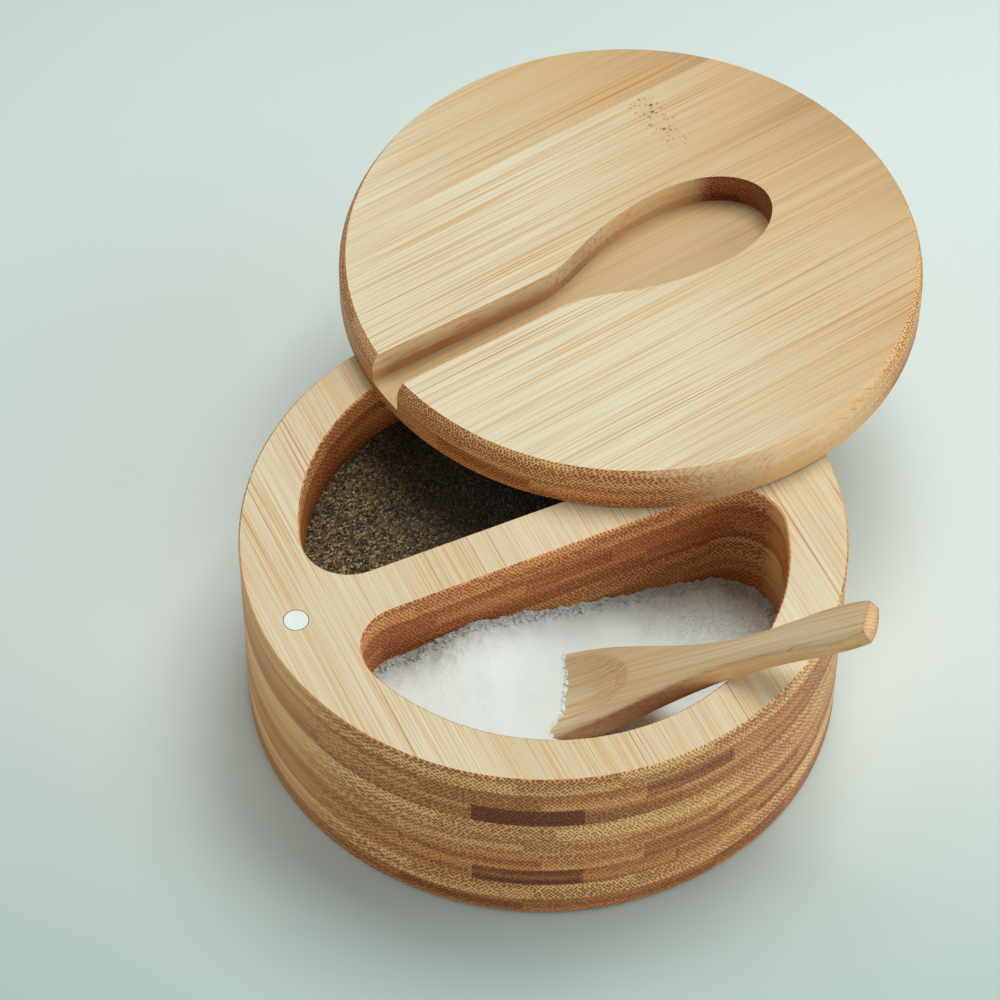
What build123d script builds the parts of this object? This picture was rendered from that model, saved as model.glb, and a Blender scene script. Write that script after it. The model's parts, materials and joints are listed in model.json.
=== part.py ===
"""Round bamboo salt and pepper box with a swivelling lid, a magnetic catch and its own spoon.

The body is a block glued up from bamboo boards.  Two half-round compartments are routed into it,
with a straight divider between them.  The lid is a disc of two boards that swivels on a screw in
the rim.  A recess in the lid's top holds the spoon.

Frame: millimetres, +Z up, origin at the centre of the base.  X runs along the divider, from the
magnet (-X) to the pivot (+X).  The salt compartment is at -Y and the pepper compartment at +Y.
"""

import math
import os

from build123d import *

# ---------------------------------------------------------------- body block
body_diameter = 125.0
body_board_count = 9
body_board_thickness = 5.2
top_edge_ease = 0.35
base_edge_chamfer = 0.7

# ---------------------------------------------------------------- compartments
divider_thickness = 11.3
rim_thickness = 9.8  # wall at the middle of each compartment's curved side
arc_centre_y = 4.4  # the curved sides are struck from here, beyond the divider's middle line
compartment_corner_radius = 10.1
compartment_floor = 8.2
compartment_cove_radius = 2.0

# ---------------------------------------------------------------- lid
lid_board_thickness = 4.95
lid_gap = 0.4
lid_shoulder_height = 3.9  # height of the eased band under the lid's top edge
lid_shoulder_inset = 1.55  # how far the top edge stands in from the lid's side
lid_open_angle = 80.5  # lid's turn about the pivot, from closed to the rest position

# ---------------------------------------------------------------- spoon recess in the lid
recess_depth = 7.6
recess_bearing = 88.2  # direction of the recess from its mouth to its bowl end, lid closed
recess_offset = -1.0  # sideways shift of the recess from the lid's centre
recess_mouth_half_width = 4.8
recess_neck_half_width = 4.55
recess_neck_x = -22.0  # places along the recess are measured from the lid's centre
flare_x = -6.5
recess_flare_half_width = 8.45
bowl_wide_x = 15.6
bowl_half_width = 12.3
bowl_end_x = 34.2
bowl_end_angle = 90.0  # the bowl's end is a quarter of an ellipse on each side

# ---------------------------------------------------------------- spoon
spoon_clearance = 0.5  # between the spoon's bowl and the recess wall
spoon_end_setback = 0.9  # handle end inside the lid's side when the spoon is stowed
spoon_end_half_width = 3.8
spoon_neck_half_width = 3.0
spoon_neck_x = -33.0
spoon_shoulder_x = -19.6
spoon_shoulder_half_width = 4.5
spoon_end_thickness = 4.5  # thicknesses are those along the spoon's middle
spoon_grip_thickness = 4.9  # where the handle rests on the rim
spoon_bowl_thickness = 5.2
spoon_tip_thickness = 2.0
spoon_underside_rise = 1.0  # from the middle of the rounded underside up to its edges
spoon_tip_rise = 0.8
spoon_handle_flare = 0.7  # each side of the handle leans out by this much on its way down
spoon_edge_round = 0.6
scoop_depth = 2.9
scoop_half_width = 9.6
scoop_start_x = -4.0
scoop_tip_wall = 2.6

# ---------------------------------------------------------------- spoon at rest, leaning in the salt
spoon_yaw = 142.7  # direction of the spoon from handle to bowl
spoon_pitch = 36.3
spoon_roll = 1.6
spoon_rest_bearing = -65.61  # where the handle leans on the salt compartment's rim
spoon_rest_inset = 1.43
spoon_rest_reach = 35.0  # handle end to the leaning point
spoon_rest_drop = 0.38  # the underside's middle hangs this far below the rim there
spoon_draw_elevation = 65.0  # the spoon is drawn out towards -Y, this far above level

# ---------------------------------------------------------------- magnets
magnet_diameter = 5.0
magnet_thickness = 3.0
magnet_hole_clearance = 0.15
catch_edge_distance = 7.5  # from the body's side in to the magnet, and in to the pivot

# ---------------------------------------------------------------- pivot hardware
screw_diameter = 3.9
screw_length = 50.0
screw_head_diameter = 7.0
screw_head_height = 2.6
screw_socket_width = 2.5
screw_socket_depth = 1.4
running_clearance = 0.08
counterbore_depth = 4.2
counterbore_diameter = 9.8
head_washer_diameter = 9.0
head_washer_thickness = 0.8
glide_washer_diameter = 10.0
insert_diameter = 6.0
insert_length = 7.0
insert_flange_diameter = 7.4
insert_flange_height = 0.9

# ---------------------------------------------------------------- contents
salt_drop = 15.6  # from the rim down to the level top of the salt
salt_crest_x = -8.0  # from here to the right the salt slopes down
salt_slope_angle = 15.8
salt_well_depth_margin = 1.0  # the well's floor under the spoon
salt_well_end_margin = 10.0  # the well's length past the bowl at each end
salt_well_side_margin = 5.2
salt_well_shift = 2.0  # the well's middle stands off the spoon's, away from the side it is drawn to
pepper_drop = 14.7

# ---------------------------------------------------------------- sizes worked out from those above
body_radius = body_diameter / 2
body_height = body_board_count * body_board_thickness
half_divider = divider_thickness / 2
compartment_arc_radius = body_radius - rim_thickness - arc_centre_y
catch_radius = body_radius - catch_edge_distance
compartment_depth = body_height - compartment_floor
lid_bottom = body_height + lid_gap
lid_thickness = 2 * lid_board_thickness
lid_top = lid_bottom + lid_thickness
recess_floor = lid_top - recess_depth
magnet_hole_radius = magnet_diameter / 2 + magnet_hole_clearance
screw_bore_radius = screw_diameter / 2 + running_clearance
under_head_z = counterbore_depth - head_washer_thickness
spoon_end_x = -(body_radius - spoon_end_setback)
spoon_tip_x = bowl_end_x - spoon_clearance
spoon_rest_x = spoon_end_x + spoon_rest_reach
spoon_bowl_half_width = bowl_half_width - spoon_clearance
beyond = 5.0  # how far a cutter runs past the face that it opens


def disc(radius, height, base_z):
    """Upright cylinder on the Z axis, standing on base_z."""
    return Pos(0, 0, base_z) * Cylinder(radius, height, align=(Align.CENTER, Align.CENTER, Align.MIN))


def ring(outer_radius, inner_radius, height, base_z):
    return disc(outer_radius, height, base_z) - disc(inner_radius, height, base_z)


def at_pivot(shape):
    return Pos(catch_radius, 0, 0) * shape


def at_magnet(shape):
    return Pos(-catch_radius, 0, 0) * shape


def open_lid(shape):
    """Turn a piece of the closed lid about the pivot to where the open lid stands."""
    return Pos(catch_radius, 0, 0) * Rot(0, 0, -lid_open_angle) * Pos(-catch_radius, 0, 0) * shape


# ---------------------------------------------------------------- compartments
def compartment_face(side):
    """Half-round outline with a straight side on the divider; side is +1 for +Y, -1 for -Y."""
    full_circle = Pos(0, side * arc_centre_y) * Circle(compartment_arc_radius)
    half_plane = Pos(0, side * (half_divider + body_radius)) * Rectangle(2 * body_radius, 2 * body_radius)
    segment = full_circle & half_plane
    return fillet(segment.vertices(), compartment_corner_radius)


def compartment_solid(side, height):
    """The room inside a compartment, from its floor up by height."""
    return extrude(Pos(0, 0, compartment_floor) * compartment_face(side), height)


def floor_edges(room):
    return room.faces().sort_by(Axis.Z)[0].edges()


def coved_compartment(side):
    room = compartment_solid(side, compartment_depth)
    return fillet(floor_edges(room), compartment_cove_radius)


def compartment_filling(side, height):
    """What fills a compartment up to a height, clear of the cove round its floor."""
    room = compartment_solid(side, height)
    return chamfer(floor_edges(room), compartment_cove_radius)


# ---------------------------------------------------------------- body block, sawn back into its boards
def body_block():
    block = disc(body_radius, body_height, 0)
    block = chamfer(block.edges().group_by(Axis.Z)[0], base_edge_chamfer)
    block -= coved_compartment(1)
    block -= coved_compartment(-1)
    block = chamfer(block.faces().sort_by(Axis.Z)[-1].edges(), top_edge_ease)
    block -= at_magnet(disc(magnet_hole_radius, magnet_thickness, body_height - magnet_thickness))
    block -= at_pivot(disc(screw_bore_radius, body_height, 0))
    block -= at_pivot(disc(counterbore_diameter / 2, counterbore_depth, 0))
    return block


def board(block, base_z, thickness):
    """The slice of a glued block that one board makes up."""
    slab = Pos(0, 0, base_z) * Box(
        4 * body_radius, 4 * body_radius, thickness, align=(Align.CENTER, Align.CENTER, Align.MIN)
    )
    return block & slab


# ---------------------------------------------------------------- lid
def recess_face():
    """Spoon-shaped outline along +X, open past the lid's side at its mouth."""
    mouth_x = -(body_radius + beyond)
    neck = (recess_neck_x, recess_neck_half_width)
    wide = (bowl_wide_x, bowl_half_width)
    mouth = (mouth_x, recess_mouth_half_width)
    flare = Spline(neck, (flare_x, recess_flare_half_width), wide, tangents=((1, 0), (1, 0)))
    bowl_end_length = bowl_end_x - bowl_wide_x
    bowl_end = EllipticalCenterArc((bowl_wide_x, 0), bowl_end_length, bowl_half_width, arc_size=bowl_end_angle)
    upper = [Line((mouth_x, 0), mouth), Line(mouth, neck), flare, bowl_end]
    half = make_face(upper + [Line((mouth_x, 0), (bowl_end_x, 0))])
    return half + mirror(half, Plane.XZ)


def lid_profile():
    """Half section of the lid: a straight side under a shoulder that curves in to the top edge."""
    shoulder_z = lid_top - lid_shoulder_height
    side_foot = (body_radius, lid_bottom)
    side_head = (body_radius, shoulder_z)
    top_edge = (body_radius - lid_shoulder_inset, lid_top)
    outline = [
        Line((0, lid_bottom), side_foot),
        Line(side_foot, side_head),
        TangentArc(side_head, top_edge, tangent=(0, 1)),
        Line(top_edge, (0, lid_top)),
        Line((0, lid_top), (0, lid_bottom)),
    ]
    return Plane.XZ * make_face(outline)


def lid_block():
    block = revolve(lid_profile(), Axis.Z)
    place = Pos(0, 0, recess_floor) * Rot(0, 0, recess_bearing) * Pos(0, recess_offset, 0)
    block -= place * extrude(recess_face(), recess_depth + beyond)
    block -= at_magnet(disc(magnet_hole_radius, magnet_thickness, lid_bottom))
    block -= at_pivot(disc(insert_diameter / 2, insert_length, lid_bottom))
    block -= at_pivot(disc(insert_flange_diameter / 2, insert_flange_height, lid_bottom))
    return block


# ---------------------------------------------------------------- pivot hardware
def pivot_screw():
    """Long socket screw, head down in the counterbore under the body."""
    shank = disc(screw_diameter / 2, screw_length, under_head_z)
    head = disc(screw_head_diameter / 2, screw_head_height, under_head_z - screw_head_height)
    head = chamfer(head.edges().group_by(Axis.Z)[0], screw_head_height / 6)
    socket_outline = RegularPolygon(screw_socket_width / math.sqrt(3), 6)
    socket = Pos(0, 0, under_head_z - screw_head_height) * extrude(socket_outline, screw_socket_depth)
    return at_pivot(shank + head - socket)


def lid_insert():
    """Brass threaded insert with a flange."""
    body = ring(insert_diameter / 2, screw_diameter / 2, insert_length, lid_bottom)
    flange = ring(insert_flange_diameter / 2, screw_diameter / 2, insert_flange_height, lid_bottom)
    return at_pivot(body + flange)


# ---------------------------------------------------------------- spoon
def spoon_section(x, half_width, flare, thickness, rise):
    """Section across the spoon at x: flat top, sides that lean out by flare, and a rounded underside."""
    top_corner = (half_width, 0)
    foot = (half_width + flare, rise - thickness)
    far_foot = (-foot[0], foot[1])
    far_corner = (-half_width, 0)
    outline = [
        Line(far_corner, top_corner),
        Line(top_corner, foot),
        ThreePointArc(foot, (0, -thickness), far_foot),
        Line(far_foot, far_corner),
    ]
    return Plane(origin=(x, 0, 0), x_dir=(0, 1, 0), z_dir=(1, 0, 0)) * make_face(outline)


def bowl_plan_face():
    """Outline that gives the bowl its rounded end and lies clear of the handle."""
    start_x = spoon_end_x - beyond
    side = (bowl_wide_x, spoon_bowl_half_width)
    start = (start_x, spoon_bowl_half_width)
    end_length = spoon_tip_x - bowl_wide_x
    bowl_end = EllipticalCenterArc((bowl_wide_x, 0), end_length, spoon_bowl_half_width, arc_size=bowl_end_angle)
    middle_line = Line((start_x, 0), (spoon_tip_x, 0))
    half = make_face([Line((start_x, 0), start), Line(start, side), bowl_end, middle_line])
    return half + mirror(half, Plane.XZ)


def spoon_blank():
    """Spoon before the bowl is hollowed: sections lofted from the handle end past the tip."""
    flare_half_width = recess_flare_half_width - spoon_clearance
    flare = spoon_handle_flare
    rise = spoon_underside_rise
    stations = [
        (spoon_end_x, spoon_end_half_width, flare, spoon_end_thickness, rise),
        (spoon_neck_x, spoon_neck_half_width, flare, spoon_grip_thickness, rise),
        (spoon_shoulder_x, spoon_shoulder_half_width, flare, spoon_grip_thickness, rise),
        (flare_x, flare_half_width, 0, spoon_bowl_thickness, rise),
        (bowl_wide_x, spoon_bowl_half_width, 0, spoon_bowl_thickness, rise),
        (spoon_tip_x, spoon_bowl_half_width, 0, spoon_tip_thickness, spoon_tip_rise),
    ]
    handle_and_bowl = loft([spoon_section(*station) for station in stations])
    return handle_and_bowl & extrude(bowl_plan_face(), -2 * spoon_bowl_thickness)


def scoop_cutter():
    """Spindle that hollows the bowl: an arc turned about an axis above the spoon and along it."""
    scoop_end_x = spoon_tip_x - scoop_tip_wall
    middle_x = (scoop_start_x + scoop_end_x) / 2
    turn_radius = (scoop_half_width**2 + scoop_depth**2) / (2 * scoop_depth)
    axis_height = turn_radius - scoop_depth
    start = (scoop_start_x, 0)
    end = (scoop_end_x, 0)
    arc = ThreePointArc(start, (middle_x, -scoop_depth), end)
    over_end = (scoop_end_x, axis_height)
    over_start = (scoop_start_x, axis_height)
    outline = [arc, Line(end, over_end), Line(over_end, over_start), Line(over_start, start)]
    profile = Plane.XZ * make_face(outline)
    return revolve(profile, Axis((0, 0, axis_height), (1, 0, 0)))


def spoon():
    blank = spoon_blank()
    top_face = blank.faces().sort_by(Axis.Z)[-1]
    long_edges = top_face.edges().filter_by(lambda edge: edge.length > bowl_half_width)
    return fillet(long_edges, spoon_edge_round) - scoop_cutter()


def spoon_at_rest():
    """Where the leaning spoon stands: its underside just clears the rim of the salt compartment."""
    bearing = math.radians(spoon_rest_bearing)
    lean_radius = compartment_arc_radius - spoon_rest_inset
    lean_x = lean_radius * math.cos(bearing)
    lean_y = lean_radius * math.sin(bearing) - arc_centre_y
    lean_point = Pos(lean_x, lean_y, body_height - spoon_rest_drop)
    turn = Rot(0, 0, spoon_yaw) * Rot(0, spoon_pitch, 0) * Rot(spoon_roll, 0, 0)
    return lean_point * turn * Pos(-spoon_rest_x, 0, spoon_grip_thickness)


# ---------------------------------------------------------------- contents
def spoon_well():
    """Slanting well in the salt, wide enough for the spoon's bowl at rest and as it is drawn out."""
    elevation = math.radians(spoon_draw_elevation)
    draw_direction = (0, -math.cos(elevation), math.sin(elevation))
    centre_x = (spoon_tip_x + flare_x) / 2
    half_length = (spoon_tip_x - flare_x) / 2 + salt_well_end_margin
    half_width = spoon_bowl_half_width + salt_well_side_margin
    well_floor = Pos(centre_x, -salt_well_shift, -spoon_bowl_thickness - salt_well_depth_margin)
    outline = spoon_at_rest() * well_floor * Ellipse(half_length, half_width)
    return extrude(outline, 2 * body_height, dir=draw_direction)


def salt_fill():
    """Salt, level on the left and sloping down to the right, around the well for the spoon."""
    level_z = body_height - salt_drop
    slope_run = body_radius - salt_crest_x
    foot_z = level_z - slope_run * math.tan(math.radians(salt_slope_angle))
    crest = (salt_crest_x, level_z)
    outline = [(-body_radius, 0), (-body_radius, level_z), crest, (body_radius, foot_z), (body_radius, 0)]
    heap = extrude(Plane.XZ * make_face(Polyline(*outline, close=True)), 2 * body_radius, both=True)
    return (compartment_filling(-1, compartment_depth) & heap) - spoon_well()


def pepper_fill():
    return compartment_filling(1, compartment_depth - pepper_drop)


# ---------------------------------------------------------------- every piece, by its name
def all_pieces():
    pieces = {}
    block = body_block()
    for index in range(body_board_count):
        name = f"body_board_{index + 1}"
        pieces[name] = board(block, index * body_board_thickness, body_board_thickness)
    pieces["body_magnet"] = at_magnet(
        disc(magnet_diameter / 2, magnet_thickness, body_height - magnet_thickness)
    )

    lid = lid_block()
    pieces["lid_lower_board"] = open_lid(board(lid, lid_bottom, lid_board_thickness))
    pieces["lid_upper_board"] = open_lid(board(lid, lid_bottom + lid_board_thickness, lid_board_thickness))
    pieces["lid_magnet"] = open_lid(at_magnet(disc(magnet_diameter / 2, magnet_thickness, lid_bottom)))
    pieces["lid_insert"] = open_lid(lid_insert())

    pieces["pivot_screw"] = open_lid(pivot_screw())
    head_washer = ring(head_washer_diameter / 2, screw_bore_radius, head_washer_thickness, under_head_z)
    pieces["head_washer"] = at_pivot(head_washer)
    glide_washer = ring(glide_washer_diameter / 2, screw_bore_radius, lid_gap, body_height)
    pieces["glide_washer"] = at_pivot(glide_washer)

    pieces["spoon"] = spoon_at_rest() * spoon()
    pieces["salt_fill"] = salt_fill()
    pieces["pepper_fill"] = pepper_fill()
    return pieces


def main():
    os.makedirs("parts", exist_ok=True)
    for name, piece in all_pieces().items():
        export_step(piece, f"parts/{name}.step")


main()
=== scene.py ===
"""Looks for a round bamboo salt and pepper box: boards, swivel lid, magnets, spoon, salt and pepper.

Everything is in metres, in the frame of the box: +Z up, origin under the middle of the base, X along
the divider and the body's fibres along Y.
"""

import json
import math
import random

import bpy
from mathutils import Euler, Matrix, Vector, noise
from mathutils.bvhtree import BVHTree
from mathutils.kdtree import KDTree


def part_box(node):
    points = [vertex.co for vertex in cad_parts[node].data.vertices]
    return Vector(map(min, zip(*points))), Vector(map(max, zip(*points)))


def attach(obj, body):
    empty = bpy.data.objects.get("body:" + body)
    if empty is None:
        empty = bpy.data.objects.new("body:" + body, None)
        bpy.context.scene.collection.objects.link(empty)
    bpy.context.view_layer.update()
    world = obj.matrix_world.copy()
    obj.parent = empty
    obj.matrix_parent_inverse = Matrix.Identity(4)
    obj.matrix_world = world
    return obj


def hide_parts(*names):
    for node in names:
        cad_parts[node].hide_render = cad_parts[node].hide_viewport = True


bl_info = {
    "name": "Bamboo salt box",
    "version": (1, 0, 0),
    "blender": (4, 5, 0),
    "location": "View3D > Sidebar > Salt box",
    "description": "Finishes a bamboo salt and pepper box and sets up its studio",
    "category": "Object",
}

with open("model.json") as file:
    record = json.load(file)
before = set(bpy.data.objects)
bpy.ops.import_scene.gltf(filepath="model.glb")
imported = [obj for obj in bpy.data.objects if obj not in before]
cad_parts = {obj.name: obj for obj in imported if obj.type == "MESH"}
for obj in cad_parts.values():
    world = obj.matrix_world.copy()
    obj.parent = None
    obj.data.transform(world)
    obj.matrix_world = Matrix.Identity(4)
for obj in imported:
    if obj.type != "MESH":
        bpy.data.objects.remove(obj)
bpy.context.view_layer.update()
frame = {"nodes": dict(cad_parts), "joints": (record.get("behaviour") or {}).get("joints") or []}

MM = 0.001


# ---------------------------------------- places read from the frame
def box_centre(node):
    low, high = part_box(node)
    return (low + high) / 2


def lid_open_turn():
    """The lid's angle from closed to where it stands, as a turn about +Z."""
    joint = next(joint for joint in frame["joints"] if joint["name"] == "lid_swivel")
    return -math.radians(max(joint["range_deg"]))


BODY_LOW, BODY_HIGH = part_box("body_board_1")[0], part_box("body_board_9")[1]
BODY_RADIUS = (BODY_HIGH.x - BODY_LOW.x) / 2
SALT_LOW, SALT_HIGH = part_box("salt_fill")
PEPPER_LOW, PEPPER_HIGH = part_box("pepper_fill")
LID_CENTRE = box_centre("lid_lower_board")

# ---------------------------------------- how the spoon stands
SPOON_YAW = math.radians(142.7)
SPOON_PITCH = math.radians(36.3)
SPOON_ROLL = math.radians(1.6)


def srgb(red, green, blue):
    """Screen colour from 0 to 255 as the linear colour that shaders use."""

    def linear(value):
        share = value / 255
        return share / 12.92 if share <= 0.04045 else ((share + 0.055) / 1.055) ** 2.4

    return (linear(red), linear(green), linear(blue))


# ---------------------------------------- settings
def colour(name, description, red, green, blue):
    default = srgb(red, green, blue)
    return bpy.props.FloatVectorProperty(
        name=name, description=description, default=default, subtype="COLOR", size=3, min=0, max=1
    )


def length(name, description, default, least=0.0):
    return bpy.props.FloatProperty(
        name=name, description=description, default=default, unit="LENGTH", min=least
    )


def factor(name, description, default):
    return bpy.props.FloatProperty(
        name=name, description=description, default=default, subtype="FACTOR", min=0, max=1
    )


def number(name, description, default):
    return bpy.props.FloatProperty(name=name, description=description, default=default, min=0)


def whole_number(name, description, default):
    return bpy.props.IntProperty(name=name, description=description, default=default, min=0)


class BambooSettings(bpy.types.PropertyGroup):
    """Colours and grain of the bamboo."""

    light: colour("Light strip", "Palest strips", 221, 211, 181)
    middle: colour("Middle strip", "Tan strips", 202, 175, 130)
    dark: colour("Dark strip", "Brown strips", 146, 100, 66)
    line: colour("Line", "Fine lines along the fibres", 206, 161, 98)
    streak: colour("Streak", "Stronger orange-brown lines along the fibres", 184, 120, 56)
    end_light: colour("Light end grain", "Palest strips where they are cut across", 228, 182, 118)
    end_middle: colour("Middle end grain", "Tan strips where they are cut across", 202, 138, 80)
    end_dark: colour("Dark end grain", "Brown strips where they are cut across", 122, 64, 34)
    # Painted shade and warm bounce light: the walls inside the box are multiplied by this tint where they are
    # cut across.
    inner_shade_tint: colour("Inner tint", "What the shaded walls inside the box are multiplied by", 255, 232, 220)
    # Painted shade: the walls inside the lid, where they are cut across, are multiplied by this tint.
    recess_shade_tint: colour("Recess tint", "What the walls inside the lid are multiplied by", 178, 140, 130)
    bundle: colour("Bundle", "What the dot of a fibre bundle is multiplied by", 150, 116, 92)
    strip_width: length("Strip width", "Width of one bamboo strip", 20 * MM)
    bundle_spacing: length("Bundle spacing", "Distance between fibre bundles", 0.64 * MM)
    wander: length("Wander", "How far fibres stray from straight", 0.9 * MM)
    wander_length: length("Wander length", "Length over which fibres stray", 110 * MM)
    line_width: length("Line width", "Width of the fine lines along the fibres", 0.24 * MM)
    line_length: length("Line length", "Length of the fine lines", 50 * MM)
    roughness: factor("Roughness", "Roughness of the oiled surface", 0.5)


class MetalSettings(bpy.types.PropertyGroup):
    """Colours of the magnets and the pivot's hardware."""

    nickel: colour("Nickel", "Plated magnets", 200, 203, 200)
    steel: colour("Steel", "Screw and washer", 176, 177, 180)
    brass: colour("Brass", "Threaded insert", 206, 168, 96)
    nylon: colour("Nylon", "Glide washer", 226, 222, 210)


class PlanSettings(bpy.types.PropertyGroup):
    """Plan of the two compartments."""

    arc_centre: length("Arc centre", "From the box's axis to the centre of a compartment's arc", 4.4 * MM)
    corner_radius: length("Corner radius", "Radius of a compartment's corners", 10.1 * MM)


class SaltSettings(bpy.types.PropertyGroup):
    """Shape and colour of the salt."""

    white: colour("Salt", "Colour of the crystals", 232, 243, 239)
    # Greyer salt in cloudy patches; dimmed, it is also the painted shade at the shaded end of the heap.
    shade: colour("Salt in hollows", "Colour between the crystals", 222, 231, 227)
    side_share: factor("Side share", "How much a crystal's sides differ from its top", 0.3)
    level: length("Level", "Height of the level top of the salt", SALT_HIGH.z - 1.0 * MM)
    ridge: length("Ridge", "Height of the ridge left of the middle", 2.2 * MM)
    ridge_x: length("Ridge place", "Where the ridge is, along the divider", -20 * MM, least=-60 * MM)
    ridge_width: length("Ridge width", "Width of the ridge", 8 * MM)
    dip: length("Dip", "Depth of the hollow where the spoon goes in", 6.4 * MM)
    dip_right: length("Dip to the right", "From the spoon's left end to the middle of the hollow", 15.5 * MM)
    dip_front: length("Dip to the front", "From the spoon's rear side to the middle of the hollow", 14.5 * MM)
    dip_along: length("Dip along", "Reach of the hollow along the spoon", 9 * MM)
    dip_across: length("Dip across", "Reach of the hollow across the spoon", 15 * MM)
    slope: number("Slope", "Fall of the salt to the right, per unit of length", 0.283)
    crest: length("Crest", "Where the slope begins, along the divider", -8 * MM, least=-60 * MM)
    grid_step: length("Grid step", "Spacing of the surface's points", 0.36 * MM)
    grain: length("Grain", "Size of a crystal", 0.85 * MM)
    grain_count: whole_number("Crystals", "Loose crystals on top", 5000)
    edge: length("Edge", "Width of the band along rim and spoon where loose crystals lie", 2.4 * MM)
    loose_share: factor("Loose share", "Share of places away from the edge with a loose crystal", 0.0)


class PepperSettings(bpy.types.PropertyGroup):
    """Shape and colour of the pepper."""

    dark: colour("Dark grain", "Outer skin of the corns", 34, 27, 19)
    middle: colour("Middle grain", "Most of the ground pepper", 104, 86, 56)
    pale: colour("Pale grain", "Inside of the corns", 190, 168, 124)
    level: length("Level", "Height of the pepper's highest places", PEPPER_HIGH.z)
    dip: length("Dip", "How far below that the pepper lies on average", 0.8 * MM)
    grid_step: length("Grid step", "Spacing of the surface's points", 0.42 * MM)
    grain: length("Grain", "Size of a flake", 0.42 * MM)
    grain_count: whole_number("Flakes", "Loose flakes on top", 6000)


class StageSettings(bpy.types.PropertyGroup):
    """Floor, backdrop, lamps and camera."""

    floor: colour("Floor", "Pale table top", 218, 230, 226)
    floor_far: colour("Floor away from the box", "Table top where less light falls", 176, 198, 192)
    backdrop: colour("Backdrop", "What the camera sees past the floor", 212, 223, 219)
    key_power: number("Key light", "Power of the main lamp above the box, in watts", 13.0)
    front_power: number("Front light", "Power of the lamp in front, in watts", 7.0)
    left_power: number("Left light", "Power of the lamp on the left, in watts", 3.85)
    right_power: number("Right light", "Power of the lamp on the right, in watts", 8.05)
    world_strength: factor("Ambient", "Light from all round", 0.14)
    lens: number("Lens", "Focal length in millimetres", 147.04)


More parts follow.
